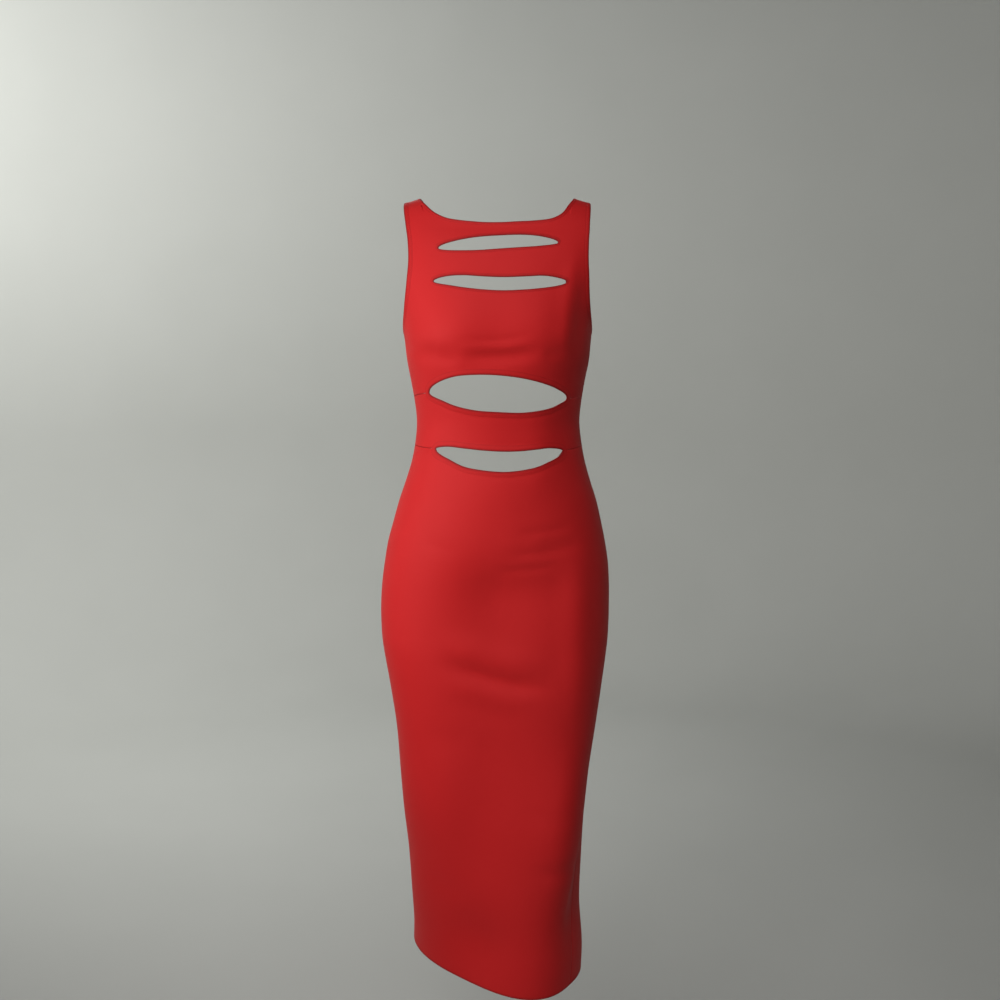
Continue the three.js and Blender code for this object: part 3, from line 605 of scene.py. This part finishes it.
def evenStretch(places, spacing):  # (angle, drop) places along a stretch, without its last one
    point = formFrame(places[:, 0], places[:, 1])[0]
    run = np.concatenate(((0,), np.cumsum(np.linalg.norm(np.diff(point, axis=0), axis=1))))
    at = np.linspace(0, run[-1], max(2, int(run[-1] / spacing)) + 1)[:-1]
    return np.stack((np.interp(at, run, places[:, 0]), np.interp(at, run, places[:, 1])), -1)


def evenPlaces(stretches, spacing):
    return np.concatenate([evenStretch(stretch, spacing) for stretch in stretches])


def loopFrame(places, clothSide):  # points, normals and the way across the cloth, along a loop
    point, normal, girth, down = formFrame(places[:, 0], places[:, 1])
    along = np.roll(point, -1, 0) - np.roll(point, 1, 0)
    along /= np.linalg.norm(along, axis=1, keepdims=True)
    across = crossOf(normal, along) * clothSide
    return point, normal, across, girth, down


def stepAcross(places, frameParts, reach):  # places a few mm across the cloth from a loop
    _, _, across, girth, down = frameParts
    angle = places[:, 0] + reach * (across * girth).sum(1) / (girth ** 2).sum(1)
    offRidge = smoothStep(places[:, 1] / 12)  # over the shoulder ridge a width runs straight along the ridge
    drop = places[:, 1] + offRidge * reach * (across * down).sum(1) / (down ** 2).sum(1)
    return angle, np.maximum(0, drop)


def shadeFlat(mesh, ring, borders):  # the thin outer borders show no edge of their own
    ends = np.empty(2 * len(mesh.edges), np.int32)
    mesh.edges.foreach_get("vertices", ends)
    ends = ends.reshape(-1, 2) % ring
    sharp = (ends[:, 0] == ends[:, 1]) & np.isin(ends[:, 0], borders)
    mesh.attributes.new("sharp_edge", "BOOLEAN", "EDGE").data.foreach_set("value", sharp)


def bindEdge(name, stretches, width, clothSide, rise):
    places = evenPlaces(stretches, bindingSettings["spacing"])
    parts = loopFrame(places, clothSide)
    section = bindingSection(width, rise)
    rings = []
    for reach, height in section:
        angle, drop = stepAcross(places, parts, reach)
        point, normal, _, _ = formFrame(angle, drop)
        rings.append(point + normal * height)
    corners = np.stack(rings, 1)
    count, ring = corners.shape[:2]
    index = np.arange(count * ring).reshape(count, ring)
    after = np.roll(index, -1, 0)
    faces = np.stack((index, after, np.roll(after, -1, 1), np.roll(index, -1, 1)), -1).reshape(-1, 4)
    if clothSide > 0:
        faces = faces[:, ::-1]
    steps = np.linalg.norm(np.roll(parts[0], -1, 0) - parts[0], axis=1)
    run = np.concatenate(((0,), np.cumsum(steps)[:-1]))[:, None] * np.ones(ring)
    wrap = [0] + [math.dist(a, b) for a, b in zip(section[:-1], section[1:])]
    across = np.cumsum(wrap) * np.ones((count, 1))
    uv = np.stack((across, run), -1).reshape(-1, 2) * mm
    s = bindingSettings
    reach = np.array(section)[:, 0]
    # painted shade: darker at the fold of the cut edge and in a thin line along the outer border
    shade = s["paintedEdgeShade"] * np.exp(-(reach / s["foldReach"]) ** 2)
    shade += s["paintedBorderShade"] * np.exp(-((width - reach) / s["borderReach"]) ** 2)
    paintedEdgeShade = (shade * np.ones((count, 1))).ravel()
    piece = addMesh(name, corners.reshape(-1, 3) * mm, faces.tolist(), uv, paintedEdgeShade)
    shadeFlat(piece.data, ring, (0, section.index((width, -section[0][1]))))
    piece["loopLength"], piece["bandWidth"] = float(steps.sum()), float(width)
    return piece


# The neck loop crosses the shoulder ridge, where front and back angles name the same place,
# so it is made of four stretches.
def neckStretches():
    s = bindingSettings
    sweep = np.linspace(0, np.pi, s["loopSteps"] + 1)
    drop = np.maximum(0, neckline.read("drop", sweep))
    front = np.stack((angleAtX(xAtSweep(neckline, sweep), drop), drop), -1)
    strapDrop = np.concatenate((np.linspace(*s["strapTop"]), np.linspace(*s["strapBelow"])))
    right = np.stack((openBackAngle(strapDrop, 1), strapDrop), -1)
    left = np.stack((openBackAngle(strapDrop, -1) + 2 * np.pi, strapDrop), -1)[::-1]
    return front, right, scoopEdge(0.0), left


def armholeStretches(side):
    s = bindingSettings
    middleEnd = s["armholeMiddle"][1]
    turn = np.sin(np.linspace(0.03, math.pi / 2, s["underarmSteps"]))
    underarm = middleEnd + (formSettings["underarmDrop"] - middleEnd) * turn
    drop = np.concatenate((np.linspace(*s["armholeTop"]), np.linspace(*s["armholeMiddle"]), underarm))
    front = np.stack((sideAngle(drop, side, False), drop), -1)
    back = np.stack((sideAngle(drop, side, True), drop), -1)[::-1]
    return front, back


def cutoutStretches(name):
    x, drop = cutoutLoop(cutouts[name], bindingSettings["loopSteps"])
    x, drop = np.append(x, x[0]), np.append(drop, drop[0])
    return (np.stack((angleAtX(x, drop), drop), -1),)


def bindAll():
    s = bindingSettings
    neck = bindEdge("neckAndBackBinding", neckStretches(), s["neckWidth"], -1, s["strapRise"])
    made = {"neck_and_back_band": neck}
    for node, name, side, clothSide in (("armhole_band_left", "armholeBindingLeft", 1, -1),
                                        ("armhole_band_right", "armholeBindingRight", -1, 1)):
        stretches = armholeStretches(side)
        made[node] = bindEdge(name, stretches, s["armholeWidth"], clothSide, s["strapRise"])
    for node, name, kind in (
        ("chest_slit_band", "chestSlit", "slit"), ("upper_slit_band", "upperSlit", "slit"),
        ("underbust_cutout_band", "underbustCutout", "cutout"),
        ("waist_cutout_band", "waistCutout", "cutout"),
    ):
        made[node] = bindEdge(name + "Edge", cutoutStretches(name), s[kind + "Width"], 1, s[kind + "Rise"])
    return made


bindings = bindAll()
print("bindings made")


# Shader maths: wraps a socket, so that + - * / ** build the Math nodes.
class Wire:
    def __init__(self, tree, socket):
        self.tree, self.socket = tree, socket

    def maths(self, operation, *inputs):
        return addNode(self.tree, "ShaderNodeMath", {"operation": operation}, dict(enumerate(inputs)))

    def __add__(self, other): return self.maths("ADD", self, other)
    def __radd__(self, other): return self.maths("ADD", other, self)
    def __sub__(self, other): return self.maths("SUBTRACT", self, other)
    def __rsub__(self, other): return self.maths("SUBTRACT", other, self)
    def __mul__(self, other): return self.maths("MULTIPLY", self, other)
    def __rmul__(self, other): return self.maths("MULTIPLY", other, self)
    def __truediv__(self, other): return self.maths("DIVIDE", self, other)
    def __rtruediv__(self, other): return self.maths("DIVIDE", other, self)
    def __pow__(self, other): return self.maths("POWER", self, other)
    def __rpow__(self, other): return self.maths("POWER", other, self)
    def __neg__(self): return self.maths("MULTIPLY", self, -1.0)


def addNode(tree, kind, settings, inputs, output=0):
    node = tree.nodes.new(kind)
    for key, value in settings.items():
        setattr(node, key, value)
    for key, value in inputs.items():
        if isinstance(value, Wire):
            tree.links.new(value.socket, node.inputs[key])
        else:
            node.inputs[key].default_value = value
    return Wire(tree, node.outputs[output]) if node.outputs else node


def mixColor(tree, factor, a, b):
    return addNode(tree, "ShaderNodeMix", {"data_type": "RGBA"}, {0: factor, 6: a, 7: b}, 2)


def newMaterial(name):
    material = bpy.data.materials.new(name)
    material.use_nodes = True
    tree = material.node_tree
    tree.nodes.clear()
    return material, tree


knitSettings = {
    # each colour set: the cloth's red, a darker red for painted shade in the knit's hollows and for random
    # speckle, and a paler red for random tone
    "panelColors": ((0.56, 0.0115, 0.0130, 1), (0.40, 0.006, 0.007, 1), (0.61, 0.017, 0.019, 1)),
    "bindingColors": ((0.53, 0.0105, 0.0120, 1), (0.37, 0.0055, 0.0065, 1), (0.58, 0.015, 0.017, 1)),
    # the dark red laid on as painted shade at folded edges, binding borders, rolled rims and the hem
    "paintedShadeColor": (0.17, 0.0035, 0.0045, 1),
    "wale": 0.00095, "course": 0.00078, "loopLean": 1.1, "waleRoundness": 0.7, "waleShare": 0.65,
    "broadScale": 9.0, "fineScale": 420.0, "fuzzScale": 1500.0,
    # in order: random paler tone, painted shade in the hollows of the loops, random speckle, fuzz height
    "paleAmount": 0.35, "loopShadeAmount": 0.28, "fineAmount": 0.10, "fuzzHeight": 0.5,
    "bumpStrength": 0.35, "bumpDistance": 0.00022,
    "roughness": 0.57, "specular": 0.18,
    "sheen": 0.05, "sheenRoughness": 0.5, "sheenTint": (1.0, 0.55, 0.5, 1),
}


def doubleKnit(name, colors):
    k = knitSettings
    color, deepColor, paleColor = colors
    material, tree = newMaterial(name)
    uv = addNode(tree, "ShaderNodeUVMap", {"uv_map": "clothMeasure"}, {})
    split = tree.nodes.new("ShaderNodeSeparateXYZ")
    tree.links.new(uv.socket, split.inputs[0])
    across, down = Wire(tree, split.outputs[0]), Wire(tree, split.outputs[1])
    waleTurn = across.maths("SINE", across * (2 * math.pi / k["wale"]))
    wale = waleTurn * 0.5 + 0.5
    tilted = down * (2 * math.pi / k["course"]) + waleTurn * k["loopLean"]
    loop = tilted.maths("SINE", tilted) * 0.5 + 0.5
    stitchHeight = wale ** k["waleRoundness"] * k["waleShare"] + loop * (1 - k["waleShare"])
    place = addNode(tree, "ShaderNodeTexCoord", {}, {}, 3)
    noise = "ShaderNodeTexNoise"
    broad, fine, fuzz = (
        addNode(tree, noise, {}, {"Vector": place, "Scale": k[scale], "Detail": detail, "Roughness": rough})
        for scale, detail, rough in (("broadScale", 3.0, 0.5), ("fineScale", 2.0, 0.6), ("fuzzScale", 1.0, 0.5))
    )
    tone = addNode(tree, "ShaderNodeMapRange", {"clamp": True}, {0: broad, 1: 0.3, 2: 0.7, 3: 0.0, 4: 1.0})
    base = mixColor(tree, tone * k["paleAmount"], color, paleColor)
    # painted shade in the hollows of the knit's loops, plus random fine speckle
    loopShadeAndSpeckle = (1 - stitchHeight) * k["loopShadeAmount"] + fine * k["fineAmount"]
    dark = mixColor(tree, loopShadeAndSpeckle, base, deepColor)
    # painted shade at folded edges, binding borders, rolled rims and the hem, read from a point attribute
    fold = addNode(tree, "ShaderNodeAttribute", {"attribute_name": "paintedEdgeShade"}, {}, 2)
    dark = mixColor(tree, fold, dark, k["paintedShadeColor"])
    surface = stitchHeight + fuzz * k["fuzzHeight"]
    bump = addNode(tree, "ShaderNodeBump", {}, {
        "Strength": k["bumpStrength"], "Distance": k["bumpDistance"], "Height": surface,
    })
    roughness = fine * k["fineAmount"] + k["roughness"]
    shader = addNode(tree, "ShaderNodeBsdfPrincipled", {}, {
        "Base Color": dark, "Roughness": roughness, "Normal": bump, "Specular IOR Level": k["specular"],
        "Sheen Weight": k["sheen"], "Sheen Roughness": k["sheenRoughness"],
        "Sheen Tint": k["sheenTint"],
    })
    addNode(tree, "ShaderNodeOutputMaterial", {}, {"Surface": shader})
    return material


clothKnit = doubleKnit("redDoubleKnit", knitSettings["panelColors"])
bindingKnit = doubleKnit("redEdgeBinding", knitSettings["bindingColors"])


threadSettings = {"color": (0.56, 0.014, 0.017, 1), "deepColor": (0.40, 0.008, 0.010, 1), "roughness": 0.38}


def threadMaterial():
    material, tree = newMaterial("redThread")
    place = addNode(tree, "ShaderNodeTexCoord", {}, {}, 3)
    twist = addNode(tree, "ShaderNodeTexNoise", {}, {"Vector": place, "Scale": 2600.0, "Detail": 1.0})
    color = mixColor(tree, twist, threadSettings["deepColor"], threadSettings["color"])
    bump = addNode(tree, "ShaderNodeBump", {}, {"Strength": 0.3, "Distance": 0.0001, "Height": twist})
    shader = addNode(tree, "ShaderNodeBsdfPrincipled", {}, {
        "Base Color": color, "Roughness": twist * 0.1 + threadSettings["roughness"], "Normal": bump,
    })
    addNode(tree, "ShaderNodeOutputMaterial", {}, {"Surface": shader})
    return material


thread = threadMaterial()

for piece in panels.values():
    piece.data.materials.append(clothKnit)
for piece in bindings.values():
    piece.data.materials.append(bindingKnit)
print("materials made")


# Stitches follow a seam path: each is a small rounded bead of thread, laid along the path by Geometry Nodes.
stitchSettings = {
    "pitch": 2.7, "length": 2.1, "width": 0.34, "height": 0.24, "lift": -0.03,
    "fromBorder": 2.3,  # how far inside the binding's outer border the row runs
}


def stitchTree():
    tree = bpy.data.node_groups.new("stitchesAlongPath", "GeometryNodeTree")
    face = tree.interface
    face.new_socket("Path", in_out="INPUT", socket_type="NodeSocketGeometry")
    for label, value in (("Pitch", 0.003), ("Length", 0.0022), ("Width", 0.0004), ("Height", 0.0003)):
        face.new_socket(label, in_out="INPUT", socket_type="NodeSocketFloat").default_value = value
    face.new_socket("Thread", in_out="INPUT", socket_type="NodeSocketMaterial")
    face.new_socket("Stitches", in_out="OUTPUT", socket_type="NodeSocketGeometry")
    nodes, links = tree.nodes, tree.links
    given, done = nodes.new("NodeGroupInput"), nodes.new("NodeGroupOutput")
    toCurve = nodes.new("GeometryNodeMeshToCurve")
    spaced = nodes.new("GeometryNodeResampleCurve")
    spaced.mode = "LENGTH"
    tangent = nodes.new("GeometryNodeInputTangent")
    aim = nodes.new("FunctionNodeAlignRotationToVector")
    aim.axis = "X"
    bead = nodes.new("GeometryNodeMeshUVSphere")
    bead.inputs["Segments"].default_value, bead.inputs["Rings"].default_value = 8, 6
    bead.inputs["Radius"].default_value = 0.5
    size = nodes.new("ShaderNodeCombineXYZ")
    place = nodes.new("GeometryNodeInstanceOnPoints")
    real = nodes.new("GeometryNodeRealizeInstances")
    smooth = nodes.new("GeometryNodeSetShadeSmooth")
    finish = nodes.new("GeometryNodeSetMaterial")
    links.new(given.outputs["Path"], toCurve.inputs[0])
    links.new(toCurve.outputs[0], spaced.inputs[0])
    links.new(given.outputs["Pitch"], spaced.inputs["Length"])
    links.new(tangent.outputs[0], aim.inputs["Vector"])
    for i, label in enumerate(("Length", "Width", "Height")):
        links.new(given.outputs[label], size.inputs[i])
    links.new(spaced.outputs[0], place.inputs["Points"])
    links.new(bead.outputs[0], place.inputs["Instance"])
    links.new(aim.outputs[0], place.inputs["Rotation"])
    links.new(size.outputs[0], place.inputs["Scale"])
    links.new(place.outputs[0], real.inputs[0])
    links.new(real.outputs[0], smooth.inputs[0])
    links.new(smooth.outputs[0], finish.inputs[0])
    links.new(given.outputs["Thread"], finish.inputs["Material"])
    links.new(finish.outputs[0], done.inputs[0])
    return tree


def stitchRow(name, tree, path):
    s = stitchSettings
    edges = [(i, (i + 1) % len(path)) for i in range(len(path))]
    mesh = bpy.data.meshes.new(name + "Path")
    mesh.from_pydata((path * mm).tolist(), edges, [])
    guide = bpy.data.objects.new(name + "Guide", mesh)
    bpy.context.scene.collection.objects.link(guide)
    modifier = guide.modifiers.new("stitches", "NODES")
    modifier.node_group = tree
    ids = {item.name: item.identifier for item in tree.interface.items_tree if item.in_out == "INPUT"}
    for label in ("Pitch", "Length", "Width", "Height"):
        modifier[ids[label]] = s[label.lower()] * mm
    modifier[ids["Thread"]] = thread
    graph = bpy.context.evaluated_depsgraph_get()
    made = bpy.data.meshes.new_from_object(guide.evaluated_get(graph))
    made.name = name
    piece = bpy.data.objects.new(name, made)
    bpy.context.scene.collection.objects.link(piece)
    guide.modifiers.remove(modifier)
    bpy.data.objects.remove(guide)
    print("stitched", name, len(made.polygons), "faces")
    return piece


def stitchPath(stretches, clothSide, bandWidth):  # a row just inside a binding's outer border
    s = stitchSettings
    places = evenPlaces(stretches, 2.0)
    angle, drop = stepAcross(places, loopFrame(places, clothSide), bandWidth - s["fromBorder"])
    point, normal, _, _ = formFrame(angle, drop)
    return point + normal * (bindingSettings["strapRise"] + s["lift"])


def stitchAll():
    neckWidth, armholeWidth = bindingSettings["neckWidth"], bindingSettings["armholeWidth"]
    paths = {
        "neckAndBackStitches": stitchPath(neckStretches(), -1, neckWidth),
        "armholeStitchesLeft": stitchPath(armholeStretches(1), -1, armholeWidth),
        "armholeStitchesRight": stitchPath(armholeStretches(-1), 1, armholeWidth),
    }
    tree = stitchTree()
    return {name: stitchRow(name, tree, path) for name, path in paths.items()}


stitches = stitchAll()
print("stitches made")

for node, piece in {**panels, **bindings}.items():
    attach(piece, "root")
    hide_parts(node)
for piece in stitches.values():
    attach(piece, "root")


for node, piece in bindings.items():
    stripWidth = 2 * piece["bandWidth"] + bindingSettings["turn"]
    stripWidth * mm
    piece["loopLength"] * mm
for piece in stitches.values():
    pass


cameraSettings = {
    "position": (0.00387, -1.750, -0.1778), "pitchDown": 8.01, "focalPixels": 1208.15, "side": 1000,
}
camera = bpy.data.objects.new("photoCamera", bpy.data.cameras.new("photoCamera"))
camera.data.sensor_width = 36
camera.data.lens = 36 * cameraSettings["focalPixels"] / cameraSettings["side"]
camera.location = cameraSettings["position"]
camera.rotation_euler = (math.radians(90 - cameraSettings["pitchDown"]), 0, 0)
bpy.context.scene.collection.objects.link(camera)
bpy.context.scene.camera = camera


# A pale floor that curves up all round into a soft grey backdrop.
studioSettings = {
    "floorHeight": -1.46, "floorRadius": 2.3, "coveRadius": 0.9, "wallHeight": 2.6, "segments": 96,
    "colors": ((0.415, 0.418, 0.400, 1), (0.445, 0.448, 0.430, 1)), "roughness": 0.7,
    "skyColor": (0.9, 0.93, 1.0, 1), "skyStrength": 0.03,
}


def studioSweep():
    s = studioSettings
    profile = [(0.0, 0.0)] + [(s["floorRadius"] * t, 0.0) for t in (0.25, 0.5, 0.75, 1.0)]
    for i in range(1, 13):
        turn = math.pi / 2 * i / 12
        radius = s["floorRadius"] + s["coveRadius"] * math.sin(turn)
        profile.append((radius, s["coveRadius"] * (1 - math.cos(turn))))
    profile.append((s["floorRadius"] + s["coveRadius"], s["wallHeight"]))
    corners, faces = [(0, 0, s["floorHeight"])], []
    for radius, height in profile[1:]:
        for i in range(s["segments"]):
            turn = 2 * math.pi * i / s["segments"]
            corners.append((radius * math.cos(turn), radius * math.sin(turn), s["floorHeight"] + height))
    n = s["segments"]
    for i in range(n):
        faces.append((0, 1 + i, 1 + (i + 1) % n))
        for ring in range(len(profile) - 2):
            a, c = 1 + ring * n, 1 + (ring + 1) * n
            faces.append((a + i, c + i, c + (i + 1) % n, a + (i + 1) % n))
    mesh = bpy.data.meshes.new("studioSweep")
    mesh.from_pydata(corners, [], faces)
    mesh.shade_smooth()
    sweep = bpy.data.objects.new("studioSweep", mesh)
    bpy.context.scene.collection.objects.link(sweep)
    material, tree = newMaterial("paleBackdrop")
    place = addNode(tree, "ShaderNodeTexCoord", {}, {}, 3)
    grain = addNode(tree, "ShaderNodeTexNoise", {}, {"Vector": place, "Scale": 3.0, "Detail": 2.0})
    color = mixColor(tree, grain, *s["colors"])
    shader = addNode(tree, "ShaderNodeBsdfPrincipled", {}, {
        "Base Color": color, "Roughness": grain * 0.1 + s["roughness"],
    })
    addNode(tree, "ShaderNodeOutputMaterial", {}, {"Surface": shader})
    mesh.materials.append(material)


studioSweep()

lightSettings = {  # position, what it points at, size, power, colour
    "keyFromLeft": ((-0.72, -0.78, -0.20), (0, 0, -0.33), 0.5, 3.6, (1.0, 0.985, 0.96)),
    "sideLeft": ((-0.78, -0.40, -0.28), (0, 0, -0.33), 0.5, 3.0, (1.0, 0.985, 0.96)),
    "highFrontLeft": ((-0.55, -1.45, 1.15), (0, 0, -0.35), 0.8, 14.2, (1.0, 0.985, 0.96)),
    "highFront": ((0.10, -1.50, 1.20), (0, 0, -0.35), 0.8, 6.6, (1.0, 0.985, 0.96)),
    "frontFill": ((0.15, -2.00, -0.25), (0, 0, -0.55), 0.8, 3.2, (1.0, 0.99, 0.97)),
    "behind": ((-0.30, 1.80, 0.60), (0, 0, -0.60), 0.9, 7, (0.97, 0.99, 1.0)),
    "backdropLow": ((-1.60, 1.00, 0.60), (-0.9, 3.0, -0.2), 1.0, 42, (0.98, 1.0, 0.97)),
    "backdropHigh": ((-1.55, 1.10, 1.50), (-1.0, 3.0, 0.1), 0.9, 21, (0.98, 1.0, 0.97)),
}
for name, (position, target, size, power, color) in lightSettings.items():
    light = bpy.data.objects.new(name, bpy.data.lights.new(name, "AREA"))
    light.data.shape, light.data.size, light.data.energy, light.data.color = "SQUARE", size, power, color
    light.location = position
    light.visible_camera = False
    light.rotation_euler = (Vector(target) - Vector(position)).to_track_quat("-Z", "Y").to_euler()
    bpy.context.scene.collection.objects.link(light)

world = bpy.data.worlds.new("softStudio")
world.use_nodes = True
sky = world.node_tree.nodes["Background"]
sky.inputs["Color"].default_value = studioSettings["skyColor"]
sky.inputs["Strength"].default_value = studioSettings["skyStrength"]
bpy.context.scene.world = world
bpy.context.scene.view_settings.view_transform = "Standard"
print("studio made")
